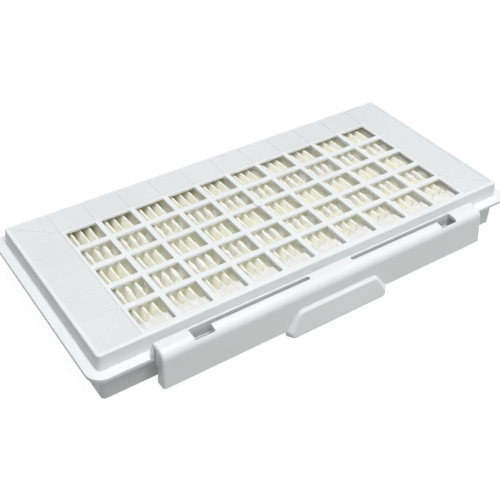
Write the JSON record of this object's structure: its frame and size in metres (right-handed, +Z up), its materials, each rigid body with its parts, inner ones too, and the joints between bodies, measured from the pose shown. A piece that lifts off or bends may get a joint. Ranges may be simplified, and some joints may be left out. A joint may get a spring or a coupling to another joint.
{
  "type": "pleated air filter cassette",
  "caption": "Flat filter cassette: pleated media under a windowed grille, a flange all round, an open tub below, and a slotted handle strip with a pull tab on one long side.",
  "frame": {"origin": "middle of the footprint, on the plane of the tub's lower edge", "axes": "+X along the long side, the handle strip faces -Y, +Z up through the grille"},
  "size_m": [0.194, 0.0995, 0.0209],
  "materials": {
    "housing_plastic": "satin",
    "filter_paper": "matt",
    "hot_melt": "satin",
    "potting": "satin"
  },
  "bodies": {
    "root": {"housing": "housing_plastic", "pleated_media": "filter_paper", "upper_spacer_beads": "hot_melt", "lower_spacer_beads": "hot_melt", "edge_sealant": "potting"}
  },
  "joints": []
}
